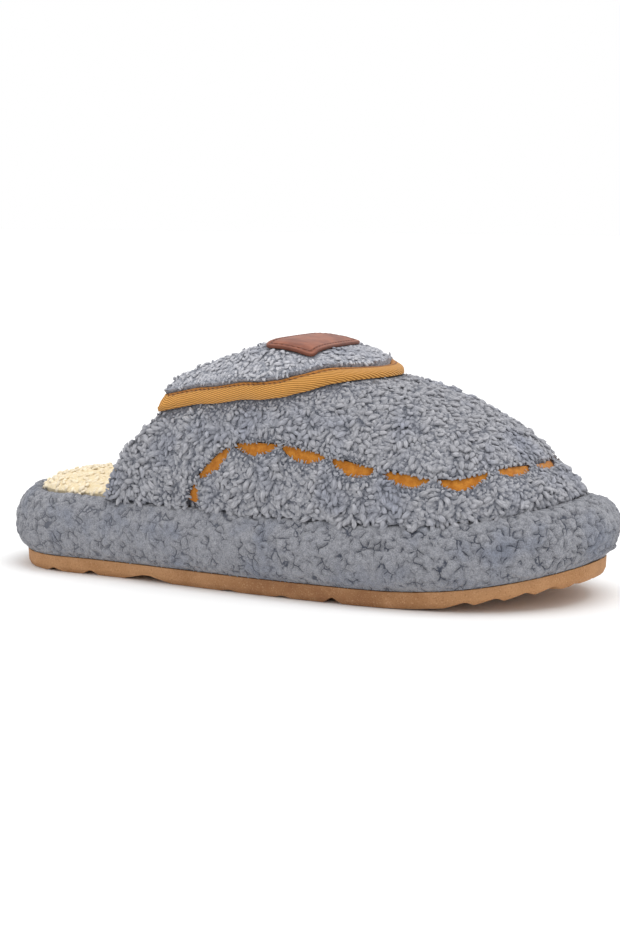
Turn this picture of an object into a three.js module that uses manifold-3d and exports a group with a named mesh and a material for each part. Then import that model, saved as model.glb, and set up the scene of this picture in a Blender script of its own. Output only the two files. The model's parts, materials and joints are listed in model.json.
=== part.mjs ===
// House slipper for the right foot: a fleece mule on a fleece-covered platform, in millimetres.
// The pieces are lofted from sections along the last: +X runs to the toe, +Y to the inner side of
// the foot and +Z up. While they are made, x starts at the heel's end; the group is centred last.
import * as THREE from 'three';
import { mergeVertices } from 'three/addons/utils/BufferGeometryUtils.js';
import Module from 'manifold-3d';

const wasm = await Module();
wasm.setup();
const { clamp, lerp } = THREE.MathUtils;

// The last and the platform that follows it
const length = 285;
const ballWidth = 112;
const heelWidth = 84;
const heelCurve = 40; // length of the round heel end
const toeCurve = 60; // length of the round toe end
const toeSwing = 6; // how far the toe's middle lies towards the inner side
const toeSpring = 12; // rise of the sole at the toe's tip
const springStart = 0.7; // share of the length where the rise begins
const heelBevel = 1.2;
const bevelEnd = 0.06; // share of the length
const gap = 0.3; // between pieces that touch

// Outsole
const outsoleHeight = 7;
const outsoleInset = 4.4;
const waistStart = 72;
const waistLength = 27;
const waistDepth = 2.6;
const grooveWidth = 9;
const grooveDepth = 2.6;
const notchPitch = 12; // round the toe
const notchWidth = 11;
const notchDepth = 1.7;
const notchLength = 20;
const notchFirst = 237; // how far along the first notch of the toe lies

// Platform with its fleece cover, and the insole let into it
const platformHeight = 28;
const heelLedge = 2.5; // by which the platform's rim widens round the heel
const toeLedge = 11; // and round the toe
const insoleClearance = 0.4;
const insoleHeight = 11.4;
const insoleCrown = 28; // width of the round border of its top

// Upper
const instepHeight = 66;
const upperInset = 4.4;
const wall = 6;
const rimWidth = upperInset + wall;
const panelHeight = 3; // the fleece of vamp and apron over the backing
const ridgeShift = 6; // towards the inner side, at the instep
const upperToe = 30; // length of the steep front of the toe

// Moccasin seam, between the vamp and the apron
const seamBack = 105;
const seamShoulder = 29; // length of its rise behind
const seamNose = 30; // length of its round front
const seamFront = 254.5;
const belowBase = 0.07; // share of the section by which cutters pass the edge of the upper
const trimStart = 0.012; // share at which the trim starts above the base
const scallopPitch = 24;
const scallopWidth = 5.4;
const neckWidth = 0.9;
const trimSink = 1.3; // the trim lies this far below the fleece
const trimHeight = 1.3;

// Flap over the instep, its binding and the patch on it
const flapHeight = 5.6;
const flapBack = 70;
const flapNose = 13;
const flapFront = 187.5;
const bindingWidth = 6.4;
const bindingHeight = 3.6;
const patchLength = 24;
const patchWidth = 48;
const patchHeight = 1.5;
const patchAt = 150;
const patchTurn = -6.5; // mm of girth towards the inner side

const past = 4; // by which cutters pass what they cut
const girth = 0.4 * Math.PI * (instepHeight + ballWidth / 2); // of a section, about

// Shares of the heel's and the ball's width that make each section's width, and of the toe's swing
const lastRows = [
  { at: 0, heel: 1, ball: 0, swing: 0 },
  { at: 0.2, heel: 1, ball: 0, swing: 0 },
  { at: 0.35, heel: 0.75, ball: 0.24, swing: -0.3 },
  { at: 0.5, heel: 0.38, ball: 0.6, swing: -0.4 },
  { at: 0.7, heel: 0, ball: 1, swing: 0.2 },
  { at: 0.82, heel: 0, ball: 0.98, swing: 0.6 },
  { at: 1, heel: 0, ball: 0.86, swing: 1 },
];

// Ridge of the upper along the length, as shares of the instep height, the section's exponent and
// how far its top is flattened
const upperRows = [
  { at: 0.1, rise: 0.81, square: 2.3, shift: 1, flat: 0 },
  { at: 0.28, rise: 0.855, square: 2.3, shift: 1, flat: 0 },
  { at: 0.35, rise: 0.87, square: 2.3, shift: 1, flat: 0.35 },
  { at: 0.41, rise: 0.92, square: 2.3, shift: 1, flat: 0.8 },
  { at: 0.47, rise: 1.02, square: 2.3, shift: 1, flat: 1 },
  { at: 0.54, rise: 1.01, square: 2.2, shift: 0.95, flat: 1 },
  { at: 0.62, rise: 0.905, square: 2.1, shift: 0.8, flat: 0.8 },
  { at: 0.74, rise: 0.765, square: 2.05, shift: 0.4, flat: 0.1 },
  { at: 0.84, rise: 0.51, square: 2.1, shift: 0.1, flat: 0 },
  { at: 0.92, rise: 0.25, square: 2.2, shift: 0, flat: 0 },
  { at: 1, rise: 0.15, square: 2.3, shift: 0, flat: 0 },
];

// Height of a section with a flat top for that of a round one, as shares of the ridge
const flatRows = [
  { at: 0, up: 0 },
  { at: 0.45, up: 0.45 },
  { at: 0.65, up: 0.675 },
  { at: 0.78, up: 0.845 },
  { at: 0.87, up: 0.935 },
  { at: 0.94, up: 0.96 },
  { at: 1, up: 0.965 },
];

// Back edge of the upper: at is the share of the section from the outer base over the top
const collarRows = [
  { at: 0, back: 0.226 },
  { at: 0.09, back: 0.25 },
  { at: 0.156, back: 0.279 },
  { at: 0.214, back: 0.304 },
  { at: 0.29, back: 0.322 },
  { at: 0.34, back: 0.342 },
  { at: 0.37, back: 0.375 },
  { at: 0.4, back: 0.43 },
  { at: 0.5, back: 0.458 },
  { at: 0.6, back: 0.428 },
  { at: 0.66, back: 0.35 },
  { at: 0.71, back: 0.31 },
  { at: 0.786, back: 0.288 },
  { at: 0.844, back: 0.26 },
  { at: 0.91, back: 0.232 },
  { at: 1, back: 0.205 },
];

// Height of the two edges on the section, as shares of it from the base over the top
const seamRows = [
  { at: 0.36, up: 0.118 },
  { at: 0.47, up: 0.129 },
  { at: 0.6, up: 0.142 },
  { at: 0.7, up: 0.134 },
  { at: 0.79, up: 0.136 },
  { at: 0.86, up: 0.14 },
];
const flapRows = [
  { at: 0.25, up: 0.216 },
  { at: 0.309, up: 0.218 },
  { at: 0.335, up: 0.233 },
  { at: 0.377, up: 0.237 },
  { at: 0.435, up: 0.22 },
  { at: 0.495, up: 0.214 },
  { at: 0.534, up: 0.23 },
  { at: 0.576, up: 0.264 },
  { at: 0.611, up: 0.316 },
  { at: 0.65, up: 0.38 },
];

// The sole's pieces in section: inset as a share of the border's width, up of the height, and
// the share of the ledges round heel and toe
const outsoleRows = [
  { inset: 1.3, up: 0 },
  { inset: 1.05, up: 0.3 },
  { inset: 1, up: 1 },
];
const platformRows = [
  { inset: 0.47, up: 0, ledge: 0 },
  { inset: 0.17, up: 0.12, ledge: 0 },
  { inset: 0.03, up: 0.3, ledge: 0 },
  { inset: 0, up: 0.5, ledge: 0 },
  { inset: 0.07, up: 0.66, ledge: 0.04 },
  { inset: 0.22, up: 0.81, ledge: 0.2 },
  { inset: 0.42, up: 0.94, ledge: 0.55 },
  { inset: 0.66, up: 1, ledge: 1 },
  { inset: 0.94, up: 0.98, ledge: 1 },
  { inset: 1, up: 0.9, ledge: 1 },
];
const insoleRows = [
  { inset: 0.04, up: 0 },
  { inset: 0, up: 0.3 },
  { inset: 0.03, up: 0.42 },
  { inset: 0.14, up: 0.6 },
  { inset: 0.38, up: 0.78 },
  { inset: 0.68, up: 0.93 },
  { inset: 1, up: 1 },
];

// Grooves across the tread, and how deep they are cut
const grooveRows = [
  { at: 0.12, cut: 0.55 },
  { at: 0.19, cut: 0.7 },
  { at: 0.455, cut: 0.3 },
  { at: 0.55, cut: 0.35 },
  { at: 0.635, cut: 0.95 },
];

// Smooth curve through one column of a table
function read(rows, name, at) {
  const last = rows.length - 1;
  const t = clamp(at, rows[0].at, rows[last].at);
  let k = 0;
  while (k < last - 1 && t > rows[k + 1].at) k++;
  const slope = (i) => {
    const a = rows[Math.max(i - 1, 0)];
    const b = rows[Math.min(i + 1, last)];
    return (b[name] - a[name]) / (b.at - a.at);
  };
  const span = rows[k + 1].at - rows[k].at;
  const u = (t - rows[k].at) / span;
  const start = rows[k][name] * (1 + 2 * u) + slope(k) * span * u;
  const end = rows[k + 1][name] * (3 - 2 * u) + slope(k + 1) * span * (u - 1);
  return start * (1 - u) ** 2 + end * u ** 2;
}

// 0 at the end of a round stretch and 1 past it
function roundEnd(share, power) {
  return (1 - (1 - clamp(share, 0, 1)) ** power) ** (1 / power);
}

// Middle line of the sole, seen from above
function middle(x) {
  return toeSwing * read(lastRows, 'swing', x / length);
}

// Ends of the sole's outline moved in by inset, and by a share of the ledges round heel and toe
function endsOf(inset, ledge) {
  return [inset + ledge * heelLedge, length - inset - ledge * toeLedge];
}

// Half the width within that outline
function halfWidth(x, inset, ledge) {
  const at = x / length;
  const width = heelWidth * read(lastRows, 'heel', at) + ballWidth * read(lastRows, 'ball', at);
  const [back, front] = endsOf(inset, ledge);
  const heel = roundEnd((x - back) / (heelCurve - inset), 2);
  const toe = roundEnd((front - x) / (toeCurve - inset), 2.2);
  return (width / 2 - inset) * heel * toe;
}

// Rise of the sole's curve over the floor
function lift(x) {
  const spring = clamp((x / length - springStart) / (1 - springStart), 0, 1);
  const bevel = clamp(1 - x / length / bevelEnd, 0, 1);
  return toeSpring * spring ** 2 + heelBevel * bevel ** 2;
}

const platformBase = outsoleHeight + gap;
const platformTop = platformBase + platformHeight;
const upperBase = platformTop + gap;

// Solid from rings of points that each run round it the same way, closed by strips at both ends.
// The two halves of a ring split their faces alike, so that plates of one grid lie parallel.
function loft(rings) {
  const count = rings[0].length;
  const faces = [];
  const quad = (a, b, c, d) => faces.push(a, b, c, a, c, d);
  for (let i = 0; i + 1 < rings.length; i++) {
    for (let k = 0; k < count; k++) {
      const next = (k + 1) % count;
      const [a, b] = [i * count + k, i * count + next];
      if (k < count / 2) quad(a, b, b + count, a + count);
      else quad(b, b + count, a + count, a);
    }
  }
  const end = (rings.length - 1) * count;
  for (let k = 0; k + 1 < count / 2; k++) {
    const [a, b, c, d] = [k, k + 1, count - 2 - k, count - 1 - k];
    quad(d, c, b, a);
    quad(end + a, end + b, end + c, end + d);
  }
  const geometry = new THREE.BufferGeometry().setFromPoints(rings.flat());
  geometry.setIndex(faces);
  return toSolid(geometry);
}

// The same shape as a solid for cuts and joins, facing outwards and without faces of no area
function toSolid(geometry) {
  const merged = mergeVertices(geometry, 1e-3);
  const index = merged.index.array;
  const [a, b, c] = [0, 1, 2].map(() => new THREE.Vector3());
  const kept = [];
  let volume = 0;
  for (let i = 0; i < index.length; i += 3) {
    const corners = [index[i], index[i + 1], index[i + 2]];
    if (new Set(corners).size < 3) continue;
    kept.push(...corners);
    [a, b, c].forEach((point, k) => point.fromBufferAttribute(merged.attributes.position, corners[k]));
    volume += a.dot(b.cross(c));
  }
  if (volume < 0) kept.reverse();
  return new wasm.Manifold(
    new wasm.Mesh({
      numProp: 3,
      vertProperties: merged.attributes.position.array,
      triVerts: new Uint32Array(kept),
    }),
  );
}

function toMesh(name, solid, colour, roughness) {
  const { vertProperties, triVerts, numProp, numVert } = solid.getMesh();
  const points = [];
  for (let i = 0; i < numVert; i++) {
    points.push(new THREE.Vector3().fromArray(vertProperties, i * numProp));
  }
  const geometry = new THREE.BufferGeometry().setFromPoints(points);
  geometry.setIndex([...triVerts]);
  geometry.computeVertexNormals();
  const material = new THREE.MeshStandardMaterial({ color: colour, roughness, metalness: 0 });
  const mesh = new THREE.Mesh(geometry, material);
  mesh.name = name;
  return mesh;
}

// Ring round that outline, with heights from a function of x
function soleRing(inset, ledge, height, count = 60) {
  const ring = [];
  for (let k = 0; k < count; k++) {
    const turn = (2 * Math.PI * (k + 0.5)) / count;
    const x = lerp(...endsOf(inset, ledge), 0.5 - 0.5 * Math.cos(turn));
    const side = Math.sign(Math.sin(turn));
    ring.push(new THREE.Vector3(x, middle(x) - side * halfWidth(x, inset, ledge), height(x)));
  }
  return ring;
}

// Prism between two points of the tread, with a V that opens downwards
function treadCut(from, to, width, depth) {
  const along = to.clone().sub(from).normalize();
  const across = new THREE.Vector3(-along.y, along.x, 0).multiplyScalar(width / 2);
  const below = new THREE.Vector3(0, 0, -depth);
  const rings = [from, to].map((end) => {
    const floor = end.clone().setZ(lift(end.x));
    const top = floor.clone().setZ(floor.z + depth);
    return [
      top.clone().addScaledVector(across, 0.15),
      floor.clone().add(across),
      floor.clone().addScaledVector(across, 2).add(below),
      floor.clone().addScaledVector(across, -2).add(below),
      floor.clone().sub(across),
      top.clone().addScaledVector(across, -0.15),
    ];
  });
  return loft(rings);
}

// Tan rubber outsole: a waist hollow, grooves across it and notches round the toe
function outsole() {
  const rings = outsoleRows.map(({ inset, up }) =>
    soleRing(inset * outsoleInset, 0, (x) => lift(x) + up * outsoleHeight),
  );
  const reach = ballWidth;
  const cuts = grooveRows.map(({ at, cut }) => {
    const x = at * length;
    const [outer, inner] = [new THREE.Vector3(x, -reach, 0), new THREE.Vector3(x, reach, 0)];
    return treadCut(outer, inner, grooveWidth, cut * grooveDepth);
  });
  const waist = waistStart + waistLength / 2;
  const waistEnds = [-reach, reach].map((y) => new THREE.Vector3(waist, y, 0));
  cuts.push(treadCut(...waistEnds, waistLength, waistDepth));
  let solid = loft(rings);
  for (const cut of [...cuts, ...toeNotches()]) solid = solid.subtract(cut);
  return solid;
}

// Notches at equal steps along the edge, each square to it
function toeNotches() {
  const edge = soleRing(outsoleInset, 0, () => 0, 400);
  const notches = [];
  let walked = notchPitch;
  for (let k = 1; k < edge.length; k++) {
    const [a, b] = [edge[k - 1], edge[k]];
    if (b.x < notchFirst || a.x < notchFirst) continue;
    walked += b.distanceTo(a);
    if (walked < notchPitch) continue;
    walked = 0;
    const out = new THREE.Vector3(b.y - a.y, a.x - b.x, 0).normalize();
    const from = b.clone().addScaledVector(out, -notchLength);
    const to = b.clone().addScaledVector(out, notchLength);
    notches.push(treadCut(from, to, notchWidth, notchDepth));
  }
  return notches;
}

// Platform: foam with a fleece cover that turns in over the rim round the insole
function platform() {
  return loft(
    platformRows.map(({ inset, up, ledge }) =>
      soleRing(inset * rimWidth, ledge, (x) => lift(x) + platformBase + up * platformHeight),
    ),
  );
}

const recessUp = platformRows[platformRows.length - 1].up;

// Insole: a padded sheepskin-like bed, crowned, in the recess of the platform
function insole() {
  const floor = platformBase + recessUp * platformHeight + gap;
  const border = rimWidth + insoleClearance;
  return loft(
    insoleRows.map(({ inset, up }) =>
      soleRing(border + inset * insoleCrown, 1, (x) => lift(x) + floor + up * insoleHeight),
    ),
  );
}

// Height of the upper's ridge over its base, at a depth below the outer surface
function ridge(x, depth) {
  const front = endsOf(upperInset + depth, 1)[1];
  const full = instepHeight * read(upperRows, 'rise', x / length) - depth;
  return full * roundEnd((front - x) / upperToe, 2);
}

// Point of the upper: share runs over the section from the outer base (0) to the inner base (1)
function upperPoint(x, share, depth) {
  const angle = Math.PI * share;
  const power = 2 / read(upperRows, 'square', x / length);
  const [cos, sin] = [Math.cos(angle), Math.sin(angle)];
  const reach = halfWidth(x, upperInset + depth, 1) * Math.sign(cos) * Math.abs(cos) ** power;
  const shift = ridgeShift * read(upperRows, 'shift', x / length) * sin ** 2;
  const round = Math.abs(sin) ** power;
  const up = lerp(round, read(flatRows, 'up', round), read(upperRows, 'flat', x / length));
  const rise = ridge(x, depth) * Math.sign(sin) * up;
  return new THREE.Vector3(x, middle(x) - reach + shift, lift(x) + upperBase + rise);
}

// Curved plate on the upper between two depths, over rows from back to front
function plate(rows, columns, outside, inside, place, first = 0) {
  const rings = [];
  for (let i = first; i <= rows; i++) {
    const arch = (depth) => {
      const points = [];
      for (let k = 0; k <= columns; k++) {
        const { x, share } = place(i / rows, k / columns, depth);
        points.push(upperPoint(x, share, depth));
      }
      return points;
    };
    rings.push([...arch(outside), ...arch(inside).reverse()]);
  }
  return loft(rings);
}

// Wall of the upper from its back edge to the toe, between two depths
function shell(outside, inside, first = 0) {
  const place = (along, share, depth) => {
    const back = length * read(collarRows, 'back', share);
    const forward = 1 - (1 - along) ** 1.9;
    const front = endsOf(upperInset, 1)[1];
    return { x: lerp(back, front, forward) - depth * forward ** 8, share };
  };
  return plate(24, 22, outside, inside, place, first);
}

// Edge of a tongue-shaped panel from its back to its front tip: places { x, share } on one side.
// It starts at the share from, rises over the shoulder and closes over the nose.
function tongueEdge({ rows, back, shoulder, nose, front, from, grow = 0 }) {
  const side = (x) => read(rows, 'up', x / length) - grow / girth;
  const [start, end] = [back + grow, front + grow];
  const places = [];
  for (let k = 0; k <= 8; k++) {
    const turn = (Math.PI / 2) * (k / 8);
    const x = start + shoulder * (1 - Math.cos(turn));
    places.push({ x, share: lerp(from, side(x), Math.sin(turn)) });
  }
  const run = end - nose - start - shoulder;
  const steps = Math.ceil(run / 12);
  for (let k = 1; k < steps; k++) {
    const x = start + shoulder + (run * k) / steps;
    places.push({ x, share: side(x) });
  }
  for (let k = 0; k <= 9; k++) {
    const turn = (Math.PI / 2) * (k / 9);
    const x = end - nose + nose * Math.sin(turn);
    places.push({ x, share: lerp(side(x), 0.5, 1 - Math.cos(turn)) });
  }
  return places;
}

// Block over the inside of a tongue-shaped edge, both sides alike, from behind the upper's back
// edge
function tongueBlock(edge, outside, inside) {
  const [start, end] = [length * collarRows[collarRows.length - 1].back - wall, edge[0].x];
  const places = [...edge];
  for (let x = end - 8; x > start - 8; x -= 8) places.unshift({ x, share: edge[0].share });
  const rows = places.length - 1;
  return plate(rows, 14, outside, inside, (along, across) => {
    const { x, share } = places[Math.round(along * rows)];
    return { x, share: lerp(share, 1 - share, across) };
  });
}

const seam = { rows: seamRows, back: seamBack, shoulder: seamShoulder, nose: seamNose };
const seamEdge = (grow) => tongueEdge({ ...seam, front: seamFront, from: -belowBase, grow });
const flapShape = { rows: flapRows, back: flapBack, shoulder: 1, nose: flapNose };
const flapEdge = (grow) =>
  tongueEdge({ ...flapShape, front: flapFront, from: flapRows[0].up - grow / girth, grow });

// Stations along an edge and its mirror image, at equal steps from the middle: where on the upper,
// the direction on the surface that leaves the panel, and how far from the middle of the edge
function stationsAlong(edge, pace) {
  const mirrored = edge.map(({ x, share }) => ({ x, share: 1 - share })).reverse();
  const places = [...edge, ...mirrored.slice(1)];
  const at = ({ x, share }) => upperPoint(x, share, 0);
  const points = places.map(at);
  const walked = [0];
  for (let k = 1; k < points.length; k++) {
    walked.push(walked[k - 1] + points[k].distanceTo(points[k - 1]));
  }
  const total = walked[walked.length - 1];
  const most = Math.floor(total / 2 / pace - 0.2);
  const placeAt = (distance) => {
    let k = 0;
    while (k < points.length - 2 && distance > walked[k + 1]) k++;
    const u = (distance - walked[k]) / (walked[k + 1] - walked[k]);
    const [a, b] = [places[k], places[k + 1]];
    return { x: lerp(a.x, b.x, u), share: lerp(a.share, b.share, u) };
  };
  const stations = [];
  for (let k = -most - 1; k <= most + 1; k++) {
    const distance = clamp(total / 2 + k * pace, 0, total);
    const place = placeAt(distance);
    const ahead = at(placeAt(Math.min(distance + pace / 2, total)));
    const behind = at(placeAt(Math.max(distance - pace / 2, 0)));
    const alongX = at({ x: place.x + 1, share: place.share }).sub(at(place));
    const alongShare = at({ x: place.x, share: place.share + 0.01 }).sub(at(place));
    const normal = alongX.cross(alongShare);
    const out = ahead.sub(behind).cross(normal).normalize();
    stations.push({ ...place, out, walked: distance - total / 2 });
  }
  return stations;
}

// The part of an edge from where a measure of its places turns positive
function fromWhere(edge, measure) {
  const first = edge.findIndex((place) => measure(place) > 0);
  const [a, b] = [edge[first - 1], edge[first]];
  const u = measure(a) / (measure(a) - measure(b));
  return [{ x: lerp(a.x, b.x, u), share: lerp(a.share, b.share, u) }, ...edge.slice(first)];
}

// The same stations with one more at each end, at the place that beyond makes of the last one
function withEnds(stations, beyond) {
  const [first, last] = [stations[0], stations[stations.length - 1]];
  return [{ ...first, ...beyond(first) }, ...stations, { ...last, ...beyond(last) }];
}

// Strip that follows an edge: corners gives its section as [outward, depth] pairs at each station
function strip(stations, corners) {
  return loft(
    stations.map((station) =>
      corners(station).map(([outward, depth]) =>
        upperPoint(station.x, station.share, depth).addScaledVector(station.out, outward),
      ),
    ),
  );
}

// Width of the tan trim that shows below the apron, as a row of crescents, one over the toe
function crescent(walked) {
  return neckWidth + scallopWidth * Math.abs(Math.cos((Math.PI * walked) / scallopPitch)) ** 0.8;
}

const trimFoot = trimSink + trimHeight;

// The edge of the seam from just above the base
function trimStations() {
  const edge = fromWhere(seamEdge(0), ({ share }) => share - trimStart);
  return stationsAlong(edge, scallopPitch / 6);
}

function seamTrim() {
  return strip(trimStations(), ({ walked }) => [
    [gap, trimSink],
    [gap, trimFoot],
    [crescent(walked), trimFoot],
    [crescent(walked), trimSink],
  ]);
}

function seamGroove() {
  const below = ({ x, share }) => ({ x, share: share < 0.5 ? -belowBase : 1 + belowBase });
  return strip(withEnds(trimStations(), below), ({ walked }) => [
    [-gap, -past],
    [-gap, trimFoot + gap],
    [crescent(walked) + gap, trimFoot + gap],
    [crescent(walked) + gap, -past],
  ]);
}

// Upper: one hollow wall, with the vamp's fleece over it and let in where the apron lies
function upper() {
  const block = tongueBlock(seamEdge(gap / 2), -2 * past, wall);
  const recess = shell(-past, panelHeight + gap / 2, -1).intersect(block);
  return shell(0, wall).subtract(recess).subtract(seamGroove());
}

// Apron: the panel over the instep with its wings to the back edge
function apron() {
  const region = tongueBlock(seamEdge(-gap / 2), -past, wall);
  return shell(0, panelHeight - gap / 2).intersect(region);
}

// Stations along the free edge of the flap, from behind the upper's back edge on both sides
function flapStations() {
  const inFront = ({ x, share }) => x - length * read(collarRows, 'back', share);
  const stations = stationsAlong(fromWhere(flapEdge(0), inFront), bindingWidth * 0.8);
  return withEnds(stations, ({ x, share }) => ({ x: x - 2 * bindingWidth, share }));
}

// Flap: turned over the instep from the back edge, inside its binding
function flap() {
  const inner = -bindingWidth - gap;
  const border = strip(flapStations(), () => [
    [inner, past],
    [inner, -flapHeight - past],
    [2 * past, -flapHeight - past],
    [2 * past, past],
  ]);
  const region = tongueBlock(flapEdge(past), -flapHeight - 2 * past, 0);
  return shell(-gap - flapHeight, -gap).intersect(region).subtract(border);
}

// Tape folded over the free edge of the flap
function binding() {
  const inner = -bindingWidth;
  const top = bindingHeight + gap;
  const tape = strip(flapStations(), () => [
    [0, -0.35 * top],
    [-0.08 * bindingWidth, -0.85 * top],
    [-0.4 * bindingWidth, -1.05 * top],
    [inner, -top],
    [inner, -2 * gap],
    [-0.5 * bindingWidth, -2 * gap],
    [-0.12 * bindingWidth, -2 * gap],
    [0, -0.2 * top],
  ]);
  return tape.intersect(shell(-2 * top, wall));
}

// Leather patch across the top of the flap
function patch() {
  const base = -2 * gap - flapHeight;
  const [outer, inner] = [0.35, 0.65].map((share) => upperPoint(patchAt, share, base));
  const whole = outer.distanceTo(inner) / 0.3; // that one whole share would span
  return plate(3, 8, base - patchHeight, base, (along, across) => ({
    x: patchAt + (along - 0.5) * patchLength,
    share: 0.5 + ((across - 0.5) * patchWidth + patchTurn) / whole,
  }));
}

const slipper = new THREE.Group();
slipper.add(toMesh('outsole', outsole(), 0xb9814f, 0.7));
slipper.add(toMesh('midsole', platform(), 0x8a8f9c, 0.95));
slipper.add(toMesh('insole', insole(), 0xe8d3a6, 0.95));
slipper.add(toMesh('upper', upper(), 0x8a8f9c, 0.95));
slipper.add(toMesh('apron', apron(), 0x8a8f9c, 0.95));
slipper.add(toMesh('seam_trim', seamTrim(), 0xb9772b, 0.85));
slipper.add(toMesh('flap', flap(), 0x8a8f9c, 0.95));
slipper.add(toMesh('binding', binding(), 0xc98a3d, 0.75));
slipper.add(toMesh('patch', patch(), 0x7e4630, 0.6));

// The origin lies on the floor, under the middle of the whole slipper
const box = new THREE.Box3().setFromObject(slipper);
const centre = box.getCenter(new THREE.Vector3());
slipper.position.set(-centre.x, -centre.y, -box.min.z);

export default slipper;
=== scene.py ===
import json
import math
import random

import bmesh
import bpy
from mathutils import Euler, Matrix, Vector, kdtree, noise
from mathutils.bvhtree import BVHTree

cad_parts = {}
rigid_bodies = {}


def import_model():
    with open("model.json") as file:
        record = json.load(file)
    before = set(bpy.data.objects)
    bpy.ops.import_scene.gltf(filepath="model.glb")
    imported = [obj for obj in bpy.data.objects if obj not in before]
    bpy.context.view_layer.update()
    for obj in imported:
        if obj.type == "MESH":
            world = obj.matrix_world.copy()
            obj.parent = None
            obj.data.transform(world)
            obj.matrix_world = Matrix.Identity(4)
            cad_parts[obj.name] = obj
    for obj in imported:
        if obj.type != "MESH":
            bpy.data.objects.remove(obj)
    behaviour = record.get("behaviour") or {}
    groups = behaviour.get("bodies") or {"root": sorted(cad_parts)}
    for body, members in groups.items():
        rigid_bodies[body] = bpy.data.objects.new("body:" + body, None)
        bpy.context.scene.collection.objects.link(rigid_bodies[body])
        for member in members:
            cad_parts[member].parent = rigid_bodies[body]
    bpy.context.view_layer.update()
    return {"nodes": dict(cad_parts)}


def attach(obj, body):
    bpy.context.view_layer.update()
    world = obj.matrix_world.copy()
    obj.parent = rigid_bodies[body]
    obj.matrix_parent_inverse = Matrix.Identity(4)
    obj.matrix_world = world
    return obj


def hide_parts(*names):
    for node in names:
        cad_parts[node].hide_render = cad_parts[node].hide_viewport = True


# Fleece mule slipper, right foot: +X to the toe, +Y to the inner side, +Z up. Metres.
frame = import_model()
mm = 0.001
body = "root"
nodes = frame["nodes"]
print("frame loaded")


# Camera and light

cameraPlace = {
    "azimuth": 26.15,  # degrees from the outer side
    "elevation": 7.85,
    "distance": 950.98 * mm,
    "aim": Vector((0.5, -1.91, 45)) * mm,
    "frame": (620, 930),  # in pixels, like the focal length and the point that is aimed at
    "focal": 2130.4,
    "aimPixel": (302.5, 477.6),
    "sensor": 36,
    "clipStart": 0.05,
}


def makeCamera():
    turn, rise = math.radians(cameraPlace["azimuth"]), math.radians(cameraPlace["elevation"])
    back = Vector((math.sin(turn) * math.cos(rise), -math.cos(turn) * math.cos(rise), math.sin(rise)))
    wide, high = cameraPlace["frame"]
    aimX, aimY = cameraPlace["aimPixel"]
    data = bpy.data.cameras.new("camera")
    data.sensor_width = cameraPlace["sensor"]
    data.lens = cameraPlace["focal"] * data.sensor_width / high
    data.shift_x = (wide / 2 - aimX) / high
    data.shift_y = (aimY - high / 2) / high
    data.clip_start = cameraPlace["clipStart"]
    camera = bpy.data.objects.new("camera", data)
    camera.location = cameraPlace["aim"] + back * cameraPlace["distance"]
    camera.rotation_euler = (-back).to_track_quat("-Z", "Y").to_euler()
    bpy.context.scene.collection.objects.link(camera)
    bpy.context.scene.camera = camera


studio = {"sky": 1.0, "sun": 1.2, "sunFrom": (0.4, -0.1, 1.6), "sunSpread": 45}


def makeLights():
    data = bpy.data.lights.new("softbox", "SUN")
    data.energy = studio["sun"]
    data.angle = math.radians(studio["sunSpread"])
    light = bpy.data.objects.new("softbox", data)
    light.rotation_euler = (-Vector(studio["sunFrom"])).to_track_quat("-Z", "Y").to_euler()
    bpy.context.scene.collection.objects.link(light)
    world = bpy.data.worlds.new("studio")
    world.use_nodes = True
    world.node_tree.nodes["Background"].inputs["Color"].default_value = (1, 1, 1, 1)
    world.node_tree.nodes["Background"].inputs["Strength"].default_value = studio["sky"]
    bpy.context.scene.world = world
    bpy.context.scene.view_settings.view_transform = "Standard"


makeCamera()
makeLights()
print("camera and light")


# Node helpers for the materials and for geometry nodes

def newMaterial(name, roughness, specular=0.5, sheen=0.0):
    material = bpy.data.materials.new(name)
    material.use_nodes = True
    surface = material.node_tree.nodes["Principled BSDF"].inputs
    surface["Roughness"].default_value = roughness
    surface["Specular IOR Level"].default_value = specular
    surface["Sheen Weight"].default_value = sheen
    return material, material.node_tree, surface


def feed(tree, target, value):
    # links a socket to the target, or sets the target to a value
    if isinstance(value, bpy.types.NodeSocket):
        tree.links.new(value, target)
    else:
        target.default_value = value


def addNode(tree, kind, **settings):
    # settings: the node's own ones, and a socket or a value for each of its inputs
    node = tree.nodes.new(kind)
    for name, value in settings.items():
        if hasattr(node, name):
            setattr(node, name, value)
        else:
            feed(tree, node.inputs[name], value)
    return node


def newGroup(name, kind, taken, made):
    # taken and made: the kind of each socket by its name
    group = bpy.data.node_groups.new(name, kind)
    for way, sockets in (("INPUT", taken), ("OUTPUT", made)):
        for title, socket in sockets.items():
            group.interface.new_socket(title, in_out=way, socket_type="NodeSocket" + socket)
    return group, group.nodes.new("NodeGroupInput").outputs, group.nodes.new("NodeGroupOutput").inputs


def attribute(tree, name, output="Fac"):
    return addNode(tree, "ShaderNodeAttribute", attribute_name=name).outputs[output]


def objectCoordinates(tree):
    return addNode(tree, "ShaderNodeTexCoord").outputs["Object"]


def noiseAt(tree, where, scale, detail, distortion=0.0):
    settings = {"Vector": where, "Scale": scale, "Detail": detail, "Distortion": distortion}
    return addNode(tree, "ShaderNodeTexNoise", **settings).outputs["Fac"]


def maths(tree, operation, first, second):
    node = addNode(tree, "ShaderNodeMath", operation=operation)
    feed(tree, node.inputs[0], first)
    feed(tree, node.inputs[1], second)
    return node.outputs["Value"]


def vectorMaths(tree, operation, first, second):
    node = addNode(tree, "ShaderNodeVectorMath", operation=operation)
    feed(tree, node.inputs[0], first)
    feed(tree, node.inputs["Scale" if operation == "SCALE" else 1], second)
    return node.outputs["Vector"]


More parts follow.
